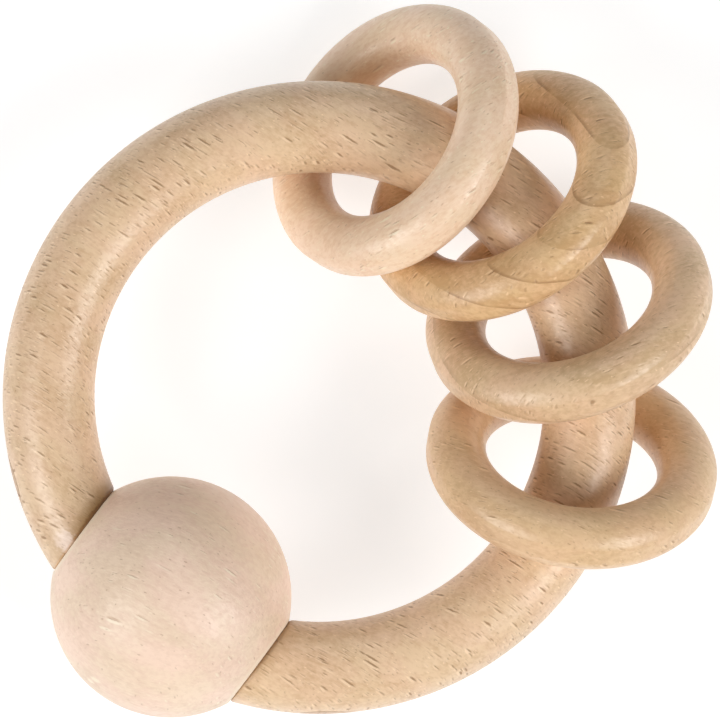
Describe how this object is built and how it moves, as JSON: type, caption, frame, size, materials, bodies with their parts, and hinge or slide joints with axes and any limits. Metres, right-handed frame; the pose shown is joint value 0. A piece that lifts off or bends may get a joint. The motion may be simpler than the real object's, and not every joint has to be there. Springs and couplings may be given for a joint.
{
  "type": "baby rattle",
  "caption": "Wooden baby rattle: a round grip ring closed by a turned ball, with small closed rings that slide and clack on it.",
  "frame": {"origin": "centre of the grip ring", "axes": "+Z along the grip ring's axis, up from the table that the rattle lies on; the ball lies 233.4 degrees counter-clockwise from +X"},
  "size_m": [0.1039, 0.104, 0.0353],
  "materials": {
    "grip_beech": "satin, waxed, open pores",
    "ball_beech": "satin, waxed, close grain",
    "ring_beech_pale": "satin, waxed",
    "ring_beech_warm": "satin, waxed",
    "ring_beech_mid": "satin, waxed",
    "dowel_beech": "end grain, sanded flush"
  },
  "bodies": {
    "grip": {"grip_ring": "grip_beech", "ball": "ball_beech", "ball_dowel": "dowel_beech"},
    "ring_1": {"rattle_ring_1": "ring_beech_pale"},
    "ring_2": {"rattle_ring_2": "ring_beech_warm"},
    "ring_3": {"rattle_ring_3": "ring_beech_mid"},
    "ring_4": {"rattle_ring_4": "ring_beech_mid"}
  },
  "joints": [
    {"name": "ring_4_travel", "type": "hinge", "parent": "grip", "child": "ring_4", "pos_m": [0, 0, 0], "axis": [0, 0, 1], "range_deg": [-60, 30]},
    {"name": "ring_3_travel", "type": "hinge", "parent": "ring_4", "child": "ring_3", "pos_m": [0, 0, 0], "axis": [0, 0, 1], "range_deg": [-3, 24]},
    {"name": "ring_2_travel", "type": "hinge", "parent": "ring_3", "child": "ring_2", "pos_m": [0, 0, 0], "axis": [0, 0, 1], "range_deg": [-3, 24]},
    {"name": "ring_1_travel", "type": "hinge", "parent": "ring_2", "child": "ring_1", "pos_m": [0, 0, 0], "axis": [0, 0, 1], "range_deg": [0, 24]}
  ]
}
